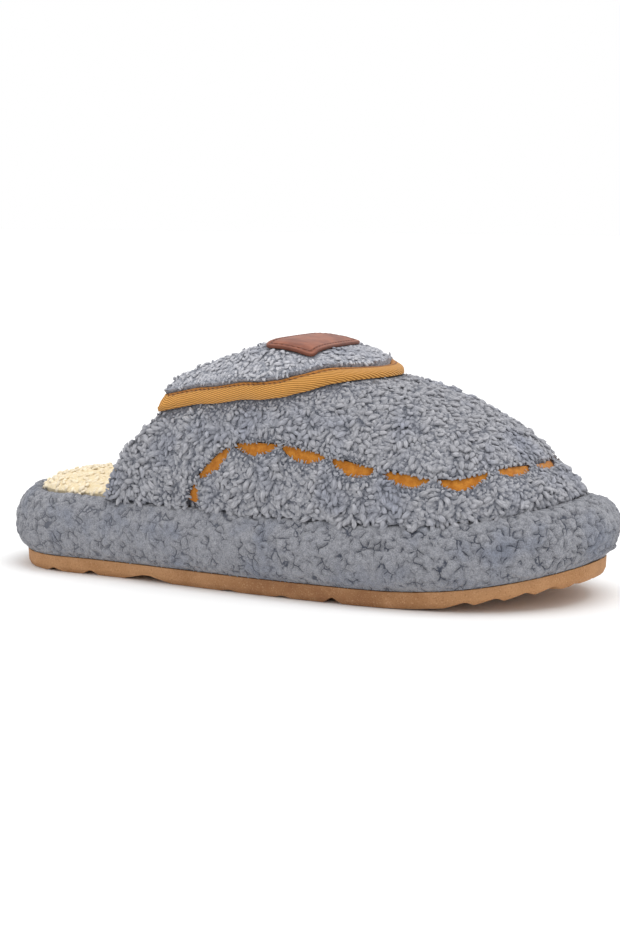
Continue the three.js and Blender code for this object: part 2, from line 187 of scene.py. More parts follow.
def ramp(tree, source, low, high, start=0.0, end=1.0):
    limits = {"From Min": low, "From Max": high, "To Min": start, "To Max": end}
    return addNode(tree, "ShaderNodeMapRange", Value=source, **limits).outputs["Result"]


def mix(tree, factor, first, second):
    node = addNode(tree, "ShaderNodeMix", data_type="RGBA")
    sockets = {s.name: s for s in node.inputs if s.enabled}
    for name, value in (("Factor", factor), ("A", first), ("B", second)):
        feed(tree, sockets[name], value)
    return [s for s in node.outputs if s.enabled][0]


def bump(tree, height, strength, distance, normal=None):
    node = addNode(tree, "ShaderNodeBump", Height=height, Strength=strength, Distance=distance)
    if normal:
        feed(tree, node.inputs["Normal"], normal)
    return node.outputs["Normal"]


def rgb(code):
    parts = [int(code[i:i + 2], 16) / 255 for i in (1, 3, 5)]
    return tuple(((c + 0.055) / 1.055) ** 2.4 if c > 0.04045 else c / 12.92 for c in parts) + (1,)


def plainMaterial(name, colour, roughness):
    material, tree, surface = newMaterial(name, roughness)
    surface["Base Color"].default_value = rgb(colour)
    return material


# Colour of a pile: its roots painted darker as shade, light at its tips, uneven from lock to lock and place
# to place

def pileGroup():
    group, given, out = newGroup("pileColour", "ShaderNodeTree", {
        "Tip Colour": "Color", "Root Colour": "Color", "Patch Colour": "Color",
        "Height": "Float", "Shade": "Float", "Patch Size": "Float",
    }, {"Color": "Color"})
    patchy = ramp(group, noiseAt(group, objectCoordinates(group), given["Patch Size"], 2.0), 0.5, 0.72)
    tinted = mix(group, patchy, given["Tip Colour"], given["Patch Colour"])
    lightness = ramp(group, given["Shade"], 0, 1, 0.9, 1.08)
    lighter = addNode(group, "ShaderNodeHueSaturation", Color=tinted, Value=lightness).outputs["Color"]
    # towards its root a lock takes the root colour: painted shade where the locks crowd together
    height = ramp(group, given["Height"], 0, 0.45)
    feed(group, out["Color"], mix(group, height, given["Root Colour"], lighter))
    return group


pileColour = pileGroup()


def colourOf(tree, look, height, shade):
    settings = {
        "Tip Colour": rgb(look["tip"]), "Root Colour": rgb(look["root"]), "Patch Colour": rgb(look["patch"]),
        "Patch Size": look["patchSize"], "Height": height, "Shade": shade,
    }
    return addNode(tree, "ShaderNodeGroup", node_tree=pileColour, **settings).outputs["Color"]


def pileMaterial(name, look):
    material, tree, surface = newMaterial(name, 0.95, 0.2, look["sheen"])
    tip, shade, root = attribute(tree, "tip"), attribute(tree, "shade"), rgb(look["root"])
    # the valleys between the ridges of each lock take the root colour: painted shade
    valleyShade = ramp(tree, attribute(tree, "valley"), 0.15, 0.75, 0, look["valleyShade"])
    shaded = mix(tree, valleyShade, colourOf(tree, look, tip, shade), root)
    # hairs run along each lock, others on the next one
    alongLock = addNode(
        tree, "ShaderNodeCombineXYZ",
        X=ramp(tree, attribute(tree, "around"), 0, 1, 0, look["hairs"]),
        Y=ramp(tree, tip, 0, 1, 0, 1.6),
        Z=ramp(tree, shade, 0, 1, 0, 900),
    )
    hair = noiseAt(tree, alongLock.outputs["Vector"], 1.0, 2.0)
    lined = mix(tree, ramp(tree, hair, 0.4, 0.6, look["hair"], 0), shaded, root)
    # the ground between the locks is mottled with the darkest colour: painted shade between the locks
    ground = noiseAt(tree, objectCoordinates(tree), 1 / (1.1 * mm), 3.0, 0.8)
    gapShadeMask = maths(tree, "MULTIPLY", ramp(tree, tip, 0, 0.15, 1, 0), ramp(tree, ground, 0.42, 0.6))
    feed(tree, surface["Base Color"], mix(tree, gapShadeMask, lined, rgb(look["deep"])))
    wavy = bump(tree, ground, 0.5, 0.5 * mm)
    feed(tree, surface["Normal"], bump(tree, hair, 0.7, 0.35 * mm, wavy))
    return material


# the root colour is painted shade at the roots of the locks; the darkest colour is painted shade on the
# ground between them
greyLook = {
    "tip": "#AEAEB3", "root": "#74767E", "deep": "#4A4D56", "patch": "#9A9DA9", "patchSize": 55,
    "valleyShade": 0.5, "hairs": 14, "hair": 0.55, "sheen": 0.15,
}
creamLook = {
    "tip": "#EFE2C9", "root": "#E6D6B6", "deep": "#DCCAA4", "patch": "#EADABB", "patchSize": 70,
    "valleyShade": 0.3, "hairs": 9, "hair": 0.2, "sheen": 0.1,
}
greyPile = pileMaterial("greyFleece", greyLook)
creamPile = pileMaterial("creamFleece", creamLook)
print("fleece materials")


# Mesh helpers

mergeWithin = 0.005 * mm
sharpAngle = 0.7  # edges that turn more than this are borders of the cloth


def mergedCopy(nodeName):
    mesh = bmesh.new()
    mesh.from_mesh(nodes[nodeName].data)
    bmesh.ops.remove_doubles(mesh, verts=mesh.verts, dist=mergeWithin)
    return mesh


def newObject(name, data):
    thing = bpy.data.objects.new(name, data)
    bpy.context.scene.collection.objects.link(thing)
    return thing


def toObject(name, mesh, smooth=True):
    data = bpy.data.meshes.new(name)
    mesh.to_mesh(data)
    mesh.free()
    if smooth:
        data.shade_smooth()
    return newObject(name, data)


def modify(thing, kind, **settings):
    modifier = thing.modifiers.new(kind.lower(), kind)
    for name, value in settings.items():
        setattr(modifier, name, value)
    return modifier


def settled(thing):
    # the object's mesh with its modifiers applied, on a new object of its name
    name = thing.name
    ready = thing.evaluated_get(bpy.context.evaluated_depsgraph_get())
    data = bpy.data.meshes.new_from_object(ready)
    bpy.data.objects.remove(thing)
    data.name = name
    return newObject(name, data)


def place(piece, slotName, material, *replaced):
    piece.data.materials.clear()
    piece.data.materials.append(material)
    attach(piece, body)
    if replaced:
        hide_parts(*replaced)
    print(piece.name, len(piece.data.polygons), "faces")


def treeOf(thing):
    faces = [tuple(p.vertices) for p in thing.data.polygons]
    return BVHTree.FromPolygons([v.co for v in thing.data.vertices], faces)


trees = {name: treeOf(thing) for name, thing in nodes.items()}


def roomAbove(point, normal, reach):
    # how far a ray along the normal runs before it meets any solid of the frame
    start = point + normal * 0.1 * mm
    room = reach
    for tree in trees.values():
        met = tree.ray_cast(start, normal, reach)
        if met[0] is not None:
            room = min(room, met[3])
    return room


# A lock of fleece: a fluted comma that rises from its root, bends over towards +X and curls

lockShape = {
    "kinds": 12, "swell": (1.2, 1.25, 0.6), "stretch": (0.85, 1.1),
    "valleys": (120, 240), "flute": 0.62, "thick": 0.65,
}


def makeLock(name, look, seed, side):
    pick = random.Random(seed)
    lock = bmesh.new()
    tip, valley, around = [lock.verts.layers.float.new(title) for title in ("tip", "valley", "around")]
    half = look["width"] / 2
    ring = bmesh.ops.create_circle(lock, cap_ends=True, segments=look["sides"], radius=half)["verts"]
    face = ring[0].link_faces[0]
    for vert in ring:
        # the valleys between the ridges of the tuft lie on its upper side
        turn = math.degrees(math.atan2(vert.co.y, vert.co.x)) % 360
        low = any(abs(turn - middle) < 5 for middle in lockShape["valleys"])
        vert[valley] = 1 if low else 0
        vert[around] = turn / 360
        vert.co = Vector((vert.co.x * lockShape["thick"], vert.co.y, 0)) * (lockShape["flute"] if low else 1)
    rise = pick.uniform(*look["rise"])
    heading = Vector((math.cos(rise), 0, math.sin(rise)))
    bmesh.ops.rotate(lock, verts=ring, matrix=Matrix.Rotation(math.pi / 2 - rise, 3, "Y"))
    bend = pick.uniform(*look["bend"])
    curl = side * pick.uniform(*look["curl"])
    rings = len(lockShape["swell"])
    step = look["length"] * pick.uniform(*lockShape["stretch"]) / rings
    before = 1
    for k, swell in enumerate(lockShape["swell"]):
        dips = [(vert[valley], vert[around]) for vert in face.verts]
        face = bmesh.ops.extrude_discrete_faces(lock, faces=[face])["faces"][0]
        turned = Euler((0, bend / rings, curl / rings)).to_matrix()
        heading = turned @ heading
        bmesh.ops.translate(lock, verts=face.verts, vec=heading * step)
        centre = face.calc_center_median()
        bmesh.ops.rotate(lock, verts=face.verts, cent=centre, matrix=turned)
        shrink = swell / before
        bmesh.ops.scale(lock, verts=face.verts, vec=(shrink,) * 3, space=Matrix.Translation(-centre))
        before = swell
        for vert, dip in zip(face.verts, dips):
            vert[tip] = (k + 1) / rings
            vert[valley], vert[around] = dip
    bmesh.ops.recalc_face_normals(lock, faces=lock.faces)
    return toObject(name, lock)


def kindSet(name, things):
    # the things in a collection of their own, out of the scene's
    kinds = bpy.data.collections.new(name)
    bpy.context.scene.collection.children.link(kinds)
    for thing in things:
        bpy.context.scene.collection.objects.unlink(thing)
        kinds.objects.link(thing)
    return kinds


def lockSet(name, look, seed):
    count = lockShape["kinds"]
    sides = [1 if k < count // 2 else -1 for k in range(count)]
    return kindSet(name, [makeLock(f"{name}.{k:02}", look, seed + k, sides[k]) for k in range(count)])


def dropKinds(kinds):
    for thing in list(kinds.objects):
        bpy.data.objects.remove(thing)
    bpy.data.collections.remove(kinds)


# Geometry nodes that set a lock of the set on each point and join them to a skin

def scatterGroup():
    taken = {"Points": "Geometry", "Locks": "Collection", "Skin": "Object"}
    group, given, out = newGroup("setLocks", "GeometryNodeTree", taken, {"Geometry": "Geometry"})

    def stored(name, kind):
        node = addNode(group, "GeometryNodeInputNamedAttribute", data_type=kind, Name=name)
        return node.outputs["Attribute"]

    apart = {"Separate Children": True, "Reset Children": True}
    locks = addNode(group, "GeometryNodeCollectionInfo", Collection=given["Locks"], **apart)
    turn = addNode(group, "FunctionNodeEulerToRotation", Euler=stored("turn", "FLOAT_VECTOR"))
    setOn = addNode(group, "GeometryNodeInstanceOnPoints", **{
        "Points": given["Points"], "Instance": locks.outputs["Instances"], "Pick Instance": True,
        "Instance Index": stored("kind", "INT"), "Rotation": turn.outputs["Rotation"],
        "Scale": stored("size", "FLOAT_VECTOR"),
    })
    real = addNode(group, "GeometryNodeRealizeInstances", Geometry=setOn.outputs["Instances"])
    skin = addNode(group, "GeometryNodeObjectInfo", Object=given["Skin"])
    joined = addNode(group, "GeometryNodeJoinGeometry", Geometry=skin.outputs["Geometry"])
    feed(group, joined.inputs["Geometry"], real.outputs["Geometry"])
    feed(group, out["Geometry"], joined.outputs["Geometry"])
    return group


setLocks = scatterGroup()
spotRules = {"tries": 5, "facing": 0.2, "leastRoom": 0.45}


def spotsOn(mesh, spacing, reach, seed, wanted):
    # points at least a spacing apart on the faces that are wanted and have room for pile
    pick = random.Random(seed)
    sharp = [e for e in mesh.edges if len(e.link_faces) == 2 and e.calc_face_angle() > sharpAngle]
    bmesh.ops.split_edges(mesh, edges=sharp)
    mesh.normal_update()
    faces = [f for f in mesh.faces if wanted(f)]
    areas = [f.calc_area() for f in faces]
    tries = int(sum(areas) / spacing ** 2 * spotRules["tries"])
    cells = {}
    spots = []
    for face in pick.choices(faces, weights=areas, k=tries):
        a, b, c = [loop.vert for loop in face.loops][:3]
        u, v = pick.random(), pick.random()
        if u + v > 1:
            u, v = 1 - u, 1 - v
        point = a.co + (b.co - a.co) * u + (c.co - a.co) * v
        cell = tuple(int(p // spacing) for p in point)
        near = [
            other
            for i in (-1, 0, 1) for j in (-1, 0, 1) for k in (-1, 0, 1)
            for other in cells.get((cell[0] + i, cell[1] + j, cell[2] + k), ())
        ]
        if any((other - point).length < spacing for other in near):
            continue
        cells.setdefault(cell, []).append(point)
        normal = (a.normal * (1 - u - v) + b.normal * u + c.normal * v).normalized()
        if normal.dot(face.normal) < spotRules["facing"]:
            normal = face.normal.copy()
        room = roomAbove(point, normal, reach)
        if room < reach * spotRules["leastRoom"]:
            continue
        spots.append((point, normal, room / reach))
    return spots


def swirl(point, size, seed):
    return noise.noise_vector(point / size + Vector((seed, 0, 0)))


def scatter(name, placed, kinds, skin=None):
    # placed: a point, the directions along and out, a size, a kind and a shade for each instance
    cloud = bmesh.new()
    for spot in placed:
        cloud.verts.new(spot["point"])
    piece = toObject(name, cloud, smooth=False)
    turns, sizes = [], []
    for spot in placed:
        out = spot["out"]
        along = (spot["along"] - out * spot["along"].dot(out)).normalized()
        turns += list(Matrix((along, out.cross(along), out)).transposed().to_euler())
        sizes += list(spot["size"])
    for title, kind, values in (
        ("turn", "FLOAT_VECTOR", turns), ("size", "FLOAT_VECTOR", sizes),
        ("kind", "INT", [spot["kind"] for spot in placed]),
        ("shade", "FLOAT", [spot["shade"] for spot in placed]),
    ):
        store = piece.data.attributes.new(title, kind, "POINT")
        store.data.foreach_set("vector" if kind == "FLOAT_VECTOR" else "value", values)
    modifier = modify(piece, "NODES", node_group=setLocks)
    inputs = {s.name: s.identifier for s in setLocks.interface.items_tree if s.in_out == "INPUT"}
    modifier[inputs["Locks"]] = kinds
    if skin:
        modifier[inputs["Skin"]] = skin
    piece = settled(piece)
    if skin:
        bpy.data.objects.remove(skin)
    piece.data.shade_smooth()
    for title in ("turn", "size", "kind"):
        if title in piece.data.attributes:
            piece.data.attributes.remove(piece.data.attributes[title])
    return piece


def fleecePiece(name, look, spots, comb, kinds, skin, seed):
    print(name, len(spots), "locks")
    pick = random.Random(seed)
    half = lockShape["kinds"] // 2
    placed = []
    for point, normal, room in spots:
        along = comb(point, normal) + swirl(point, look["swirlSize"], seed) * look["swirl"]
        along = (along - normal * along.dot(normal)).normalized()
        grow = pick.uniform(*look["grow"]) * (0.4 + 0.6 * room)
        # neighbours mostly curl to the same side
        left = noise.noise(point / (5 * mm)) + pick.gauss(0, 0.15) > 0
        placed.append({
            "point": point - normal * look["sink"],
            "along": Matrix.Rotation(pick.gauss(0, look["jitter"]), 3, normal) @ along,
            "out": normal,
            "size": (grow, grow * pick.uniform(0.8, 1.2), grow),
            "kind": pick.randrange(half) + (half if left else 0),
            "shade": pick.random(),
        })
    return scatter(name, placed, kinds, skin)


# Where a face of the upper looks: out of the foot's space or into it

ridgeFoot = 38 * mm  # height of the line that the upper's sections stand round


def awayFrom(point):
    return Vector((0, point.y, point.z - ridgeFoot)).normalized()


def outwardness(face):
    return face.normal.dot(awayFrom(face.calc_center_median()))


def looksOut(face):
    return outwardness(face) > 0.15


def looksIn(face):
    return outwardness(face) < -0.35


lockLook = {
    "sides": 6, "width": 1.85 * mm, "length": 4.3 * mm,
    "rise": (0.6, 1.1), "bend": (1.0, 2.3), "curl": (0.4, 2.0),
}
locks = lockSet("locks", lockLook, 11)

vamp = {
    "spacing": 1.12 * mm, "reach": 4 * mm, "sink": 0.3 * mm, "grow": (0.62, 1.1),
    "swirl": 1.9, "swirlSize": 9 * mm, "jitter": 0.45,
}
collar = {"back": -75 * mm, "fade": 60 * mm}  # where the pile turns from backwards to forwards

# Beside the trim and the tape the pile is bare, then low, and is combed along them
trimBorder = {"node": "seam_trim", "bare": 0.7 * mm, "low": 4 * mm, "least": 0.1}
apronBorder = {"node": "binding", "bare": 0.3 * mm, "low": 6 * mm, "least": 0.2}
flapBorder = {"node": "binding", "bare": 1.2 * mm, "low": 3.5 * mm, "least": 0.1}
trimComb = {"node": "seam_trim", "reach": 4.5 * mm, "forward": 1, "side": 1.2, "away": 0.6, "pull": 1}
tapeComb = {"node": "binding", "reach": 5 * mm, "forward": -1, "side": 1, "away": 0.9, "pull": 1.6}


def combBeside(comb, point, normal, along):
    # from the direction along to one beside the comb's piece and a little away from it
    spot, facing, index, distance = trees[comb["node"]].find_nearest(point)
    near = max(0, 1 - distance / comb["reach"])
    away = (point - spot).normalized()
    side = normal.cross(away)
    if side.x * comb["forward"] < 0:
        side.negate()
    return along * (1 - near) + (side * comb["side"] + away * comb["away"]) * near * comb["pull"]


def combDown(point, normal):
    # down, and forwards over the toe
    forward = min(1, (point.x - collar["back"]) / collar["fade"])
    return combBeside(trimComb, point, normal, Vector((1.25 * forward - 1, 0, -0.3 - 0.7 * forward)))


def pileSpots(nodeName, look, seed, wanted, *borders):
    # a copy of the node's mesh and the spots for its pile
    mesh = mergedCopy(nodeName)
    spots = spotsOn(mesh, look["spacing"], look["reach"], seed, wanted)
    for border in borders:
        kept = []
        for point, normal, room in spots:
            distance = trees[border["node"]].find_nearest(point)[3]
            if distance > border["bare"]:
                lower = max(border["least"], min(1, distance / border["low"]))
                kept.append((point, normal, room * lower))
        spots = kept
    return mesh, spots


def makeVamp():
    mesh, spots = pileSpots("upper", vamp, 21, looksOut, trimBorder)
    piece = fleecePiece("vampFleece", vamp, spots, combDown, locks, toObject("vampSkin", mesh), 22)
    place(piece, "fleece", greyPile, "upper")


def makeApron():
    mesh, spots = pileSpots("apron", vamp, 31, lambda face: face.normal.z > -0.4, trimBorder, apronBorder)
    spots.sort(key=lambda spot: spot[0].x)
    half = len(spots) // 2
    for k, name in enumerate(("wingFleece", "apronFleece")):
        skin = toObject("skin", mesh.copy())
        keepHalf(skin, spots[half][0].x, k == 0)
        chosen = spots[:half] if k == 0 else spots[half:]
        piece = fleecePiece(name, vamp, chosen, combDown, locks, skin, 32 + k)
        place(piece, "fleece", greyPile, "apron")
    mesh.free()


def keepHalf(skin, x, back):
    # the skin on one side of a cut across the slipper, closed again at the cut
    mesh = bmesh.new()
    mesh.from_mesh(skin.data)
    bmesh.ops.remove_doubles(mesh, verts=mesh.verts, dist=mergeWithin)
    whole = mesh.verts[:] + mesh.edges[:] + mesh.faces[:]
    cut = bmesh.ops.bisect_plane(
        mesh, geom=whole, dist=0.001 * mm, plane_co=(x, 0, 0), plane_no=(1, 0, 0),
        clear_outer=back, clear_inner=not back,
    )
    rim = [e for e in cut["geom_cut"] if isinstance(e, bmesh.types.BMEdge)]
    bmesh.ops.holes_fill(mesh, edges=rim, sides=0)
    mesh.to_mesh(skin.data)
    mesh.free()
    skin.data.shade_smooth()


makeVamp()
makeApron()


# Fringe: fine fibres that hang over the trim from both of its sides, and short locks that close
# the gaps between its crescents

fibreLook = {
    "sides": 3, "width": 0.5 * mm, "length": 2.2 * mm,
    "rise": (0.2, 0.6), "bend": (0.3, 1.0), "curl": (0.2, 1.4),
}
fringe = dict(vamp, grow=(0.5, 1.0), sink=0.1 * mm, swirl=0.6, jitter=0.5)
neck = dict(vamp, grow=(0.42, 0.62), sink=0.2 * mm, swirl=0.4, jitter=0.4)
fringeRows = {
    "pitch": 0.9 * mm, "reach": 2 * mm, "inset": 0.3 * mm, "outward": 0.6,
    "neck": 2.3 * mm, "toeNeck": 3.6 * mm, "closeFrom": 30 * mm, "closeTo": 85 * mm,
}


def overTrim(point, normal):
    spot = trees["seam_trim"].find_nearest(point)[0]
    return (spot - point).normalized()


def rimSpots(nodeName, seed):
    # points along the sharp edges that face the trim
    pick = random.Random(seed)
    mesh = mergedCopy(nodeName)
    spots = []
    for edge in mesh.edges:
        if len(edge.link_faces) != 2 or edge.calc_face_angle() < sharpAngle:
            continue
        start, side = edge.verts[0].co, edge.verts[1].co - edge.verts[0].co
        away = awayFrom(start)
        out = max((f.normal for f in edge.link_faces), key=lambda normal: normal.dot(away))
        if out.dot(away) < fringeRows["outward"]:
            continue
        for k in range(int(side.length / fringeRows["pitch"] + pick.random())):
            point = start + side * pick.random()
            spot, facing, index, distance = trees["seam_trim"].find_nearest(point)
            if distance < fringeRows["reach"]:
                back = (point - spot).normalized() * fringeRows["inset"]
                spots.append((point + back - out * back.dot(out), out.copy(), 1))
    mesh.free()
    return spots


def makeFringe():
    rims = [rimSpots("upper", 35), rimSpots("apron", 36)]
    fibres = lockSet("fibres", fibreLook, 37)
    narrow, wide = [], []
    closing = fringeRows["closeTo"] - fringeRows["closeFrom"]
    for rim, other in (rims, rims[::-1]):
        across = kdtree.KDTree(len(other))
        for k, spot in enumerate(other):
            across.insert(spot[0], k)
        across.balance()
        for spot in rim:
            gap = across.find(spot[0])[2]
            # towards the toe the crescents close up
            share = max(0, min(1, (spot[0].x - fringeRows["closeFrom"]) / closing))
            closed = fringeRows["neck"] + share * (fringeRows["toeNeck"] - fringeRows["neck"])
            (narrow if gap < closed else wide).append(spot)
    place(fleecePiece("seamNecks", neck, narrow, overTrim, locks, None, 38), "fleece", greyPile)
    place(fleecePiece("seamFringe", fringe, wide, overTrim, fibres, None, 39), "fleece", greyPile)
    dropKinds(fibres)


makeFringe()

flapLook = dict(vamp, spacing=1.15 * mm, reach=3.6 * mm, grow=(0.55, 0.8), swirl=0.7)
# its root and darkest colours are painted shade, as in the grey pile
flapPile = pileMaterial("flapFleece", dict(greyLook, tip="#C8C8CD", root="#989AA2", deep="#666972"))


def combFlap(point, normal):
    # down the sides of the flap
    return combBeside(tapeComb, point, normal, Vector((0.2, -1 if point.y < 0 else 1, -0.4)))


def makeFlap():
    mesh, spots = pileSpots("flap", flapLook, 41, lambda face: face.normal.z > -0.3, flapBorder)
    piece = fleecePiece("flapFleece", flapLook, spots, combFlap, locks, toObject("flapSkin", mesh), 42)
    place(piece, "fleece", flapPile, "flap")


makeFlap()

# Cream curls on the bed and inside the upper

curlLook = {
    "sides": 6, "width": 1.9 * mm, "length": 4.2 * mm,
    "rise": (0.7, 1.1), "bend": (1.2, 2.4), "curl": (0.4, 2.0),
}
curls = lockSet("curls", curlLook, 51)
bed = {
    "spacing": 1.8 * mm, "reach": 3.2 * mm, "sink": 0.4 * mm, "grow": (0.65, 1.0),
    "swirl": 1.5, "swirlSize": 9 * mm, "jitter": 0.8,
}
lining = dict(bed, spacing=bed["spacing"] * 1.6)


def makeInsole():
    mesh, spots = pileSpots("insole", bed, 52, lambda face: face.normal.z > 0.1)
    skin = toObject("insoleSkin", mesh)
    piece = fleecePiece("insoleFleece", bed, spots, lambda p, n: Vector((0.3, 0, 0)), curls, skin, 53)
    place(piece, "lining", creamPile, "insole")


def atCollar(face):
    return face.normal.x < -0.6 and trees["seam_trim"].find_nearest(face.calc_center_median())[3] > 6 * mm


def makeLining():
    mesh, spots = pileSpots("upper", lining, 61, lambda face: looksIn(face) or atCollar(face))
    bmesh.ops.delete(mesh, geom=[f for f in mesh.faces if not looksIn(f)], context="FACES")
    bmesh.ops.translate(mesh, verts=mesh.verts, vec=(0, 0, -0.1 * mm))
    skin = toObject("liningSkin", mesh)
    piece = fleecePiece("liningFleece", lining, spots, lambda p, n: Vector((-0.3, 0, 0)), curls, skin, 62)
    place(piece, "lining", creamPile)


makeInsole()
makeLining()

# Platform cover: short flattened fleece that cracks into clumps, more so towards the toe

wrap = {
    "clump": 3.9 * mm, "crack": 0.6 * mm, "round": 1.1 * mm, "swell": 1.2 * mm, "warp": 1.8 * mm,
    "calmTo": -60 * mm, "wildFrom": 50 * mm, "coverReach": 3 * mm, "steepest": 0.75,
    # root: the dark colour painted into the cracks as shade
    "tip": "#9B9CA2", "root": "#3A3F4C", "patch": "#868B98", "patchSize": 60, "worn": "#5E6068",
}


def crackGroup(kind, name):
    # the same cracks for the mesh and for the material: clumps around warped cell centres
    made = {"Dome": "Float", "Crack": "Float", "Cell": "Float"}
    group, given, out = newGroup(name, kind, {"Place": "Vector"}, made)
    spot, scale = given["Place"], 1 / wrap["clump"]
    bend = addNode(group, "ShaderNodeTexNoise", Vector=spot, Scale=1 / (6 * mm), Detail=4.0)
    centred = vectorMaths(group, "SUBTRACT", bend.outputs["Color"], (0.5, 0.5, 0.5))
    moved = vectorMaths(group, "ADD", spot, vectorMaths(group, "SCALE", centred, wrap["warp"] * 2))
    edge = addNode(group, "ShaderNodeTexVoronoi", feature="DISTANCE_TO_EDGE", Vector=moved, Scale=scale)
    cell = addNode(group, "ShaderNodeTexVoronoi", Vector=moved, Scale=scale)
    # some cracks gape, most have closed again
    gaping = ramp(group, noiseAt(group, spot, 1 / (4.5 * mm), 2.0), 0.4, 0.6, 0.35, 1)
    for title, width in (("Dome", "round"), ("Crack", "crack")):
        limits = {"Value": edge.outputs["Distance"], "From Max": wrap[width] / wrap["clump"]}
        across = addNode(group, "ShaderNodeMapRange", interpolation_type="SMOOTHERSTEP", **limits)
        shut = maths(group, "SUBTRACT", 1, across.outputs["Result"])
        feed(group, out[title], maths(group, "SUBTRACT", 1, maths(group, "MULTIPLY", shut, gaping)))
    feed(group, out["Cell"], cell.outputs["Color"])
    return group


def wrapNodes():
    # pushes the cover out along its normals by the clumps and a slower unevenness
    cover = {"Cover": "Geometry"}
    group, given, out = newGroup("swellCover", "GeometryNodeTree", cover, cover)
    spot = addNode(group, "GeometryNodeInputPosition").outputs["Position"]
    keep = addNode(
        group, "GeometryNodeStoreNamedAttribute", data_type="FLOAT_VECTOR",
        Geometry=given["Cover"], Name="rest", Value=spot,
    )
    shared = crackGroup("GeometryNodeTree", "coverCracks")
    cracks = addNode(group, "GeometryNodeGroup", node_tree=shared, Place=spot).outputs
    x = addNode(group, "ShaderNodeSeparateXYZ", Vector=spot).outputs["X"]
    wild = ramp(group, x, wrap["calmTo"], wrap["wildFrom"], 0.7, 1.1)
    free = addNode(group, "GeometryNodeInputNamedAttribute", data_type="FLOAT", Name="free")
    high = maths(group, "ADD", cracks["Dome"], maths(group, "MULTIPLY", cracks["Cell"], 0.4))
    clumps = maths(group, "MULTIPLY", maths(group, "MULTIPLY", high, wild), wrap["swell"])
    uneven = ramp(group, noiseAt(group, spot, 1 / (11 * mm), 2.0), 0.3, 0.7, -0.5 * mm, 0.6 * mm)
    swell = maths(group, "MULTIPLY", maths(group, "ADD", clumps, uneven), free.outputs["Attribute"])
    normal = addNode(group, "GeometryNodeInputNormal").outputs["Normal"]
    push = vectorMaths(group, "SCALE", normal, swell)
    move = addNode(group, "GeometryNodeSetPosition", Geometry=keep.outputs["Geometry"], Offset=push)
    feed(group, out["Cover"], move.outputs["Geometry"])
    return group


def wrapMaterial():
    material, tree, surface = newMaterial("wrapFleece", 0.95, 0.2, 0.15)
    rest = attribute(tree, "rest", "Vector")
    shared = crackGroup("ShaderNodeTree", "coverCrackShade")
    cracks = addNode(tree, "ShaderNodeGroup", node_tree=shared, Place=rest).outputs
    x = addNode(tree, "ShaderNodeSeparateXYZ", Vector=rest).outputs["X"]
    # the cracks take the dark root colour, less so towards the heel: painted shade in the cracks
    depth = maths(tree, "MAXIMUM", cracks["Crack"], ramp(tree, x, wrap["calmTo"], wrap["wildFrom"], 0.12, 0))
    colour = colourOf(tree, wrap, depth, ramp(tree, cracks["Cell"], 0, 1, 0.38, 0.66))
    nap = noiseAt(tree, rest, 1 / (0.9 * mm), 4.0, 2.0)
    worn = ramp(tree, nap, 0.38, 0.58, 0.65, 0)
    feed(tree, surface["Base Color"], mix(tree, worn, colour, rgb(wrap["worn"])))
    fine = bump(tree, nap, 0.9, 0.5 * mm)
    feed(tree, surface["Normal"], bump(tree, cracks["Dome"], 0.7, 1.2 * mm, fine))
    return material


def makeWrap():
    mesh = mergedCopy("midsole")
    bmesh.ops.join_triangles(mesh, faces=mesh.faces, angle_face_threshold=0.9, angle_shape_threshold=3.1)
    # long edges that run round the platform are halved, so that the cover keeps its height
    across = [
        e for e in mesh.edges
        if e.calc_length() > 6 * mm and abs(e.verts[0].co.z - e.verts[1].co.z) < 1.5 * mm
        and any(abs(f.normal.z) < 0.97 for f in e.link_faces)
    ]
    bmesh.ops.subdivide_edges(mesh, edges=across, cuts=1, use_grid_fill=True, smooth=0.5)
    crease = mesh.edges.layers.float.new("crease_edge")
    for edge in mesh.edges:
        down = [f.normal.z < -0.9 for f in edge.link_faces]
        edge[crease] = 1 if any(down) and not all(down) else 0
    free = mesh.verts.layers.float.new("free")
    reach = wrap["coverReach"]
    for vert in mesh.verts:
        room = min(roomAbove(vert.co, way, reach) for way in (vert.normal, Vector((0, 0, 1))))
        vert[free] = 1 if room > 0.9 * reach and vert.normal.z > -wrap["steepest"] else 0
    cover = toObject("platformCover", mesh)
    modify(cover, "SUBSURF", levels=3, render_levels=3)
    modify(cover, "NODES", node_group=wrapNodes())
    cover = settled(cover)
    place(cover, "fleece", wrapMaterial(), "midsole")
    return cover


# Hem: fibres that hang from the cover's lower border over the rubber

hem = dict(fringe, sink=0.2 * mm, swirl=0.7)
hemRow = {"pitch": 0.6 * mm, "up": (0.3 * mm, 1.6 * mm), "from": 8 * mm, "reach": 12 * mm}


def makeHem(cover):
    tree = treeOf(cover)
    pick = random.Random(71)
    mesh = mergedCopy("midsole")
    spots = []
    for edge in mesh.edges:
        sides = [f for f in edge.link_faces if f.normal.z > -0.9]
        if len(edge.link_faces) != 2 or len(sides) != 1:
            continue
        out = Vector((sides[0].normal.x, sides[0].normal.y, 0)).normalized()
        start, side = edge.verts[0].co, edge.verts[1].co - edge.verts[0].co
        for k in range(int(side.length / hemRow["pitch"] + pick.random())):
            point = start + side * pick.random() + Vector((0, 0, pick.uniform(*hemRow["up"])))
            met = tree.ray_cast(point + out * hemRow["from"], -out, hemRow["reach"])
            if met[0] is not None:
                spots.append((met[0], met[1], 1))
    mesh.free()
    fibres = lockSet("hemFibres", fibreLook, 72)
    piece = fleecePiece("hemFuzz", hem, spots, lambda p, n: Vector((0, 0, -1)), fibres, None, 73)
    place(piece, "fleece", greyPile)
    dropKinds(fibres)


makeHem(makeWrap())


# Stitches: short threads that dive into the cloth at both ends

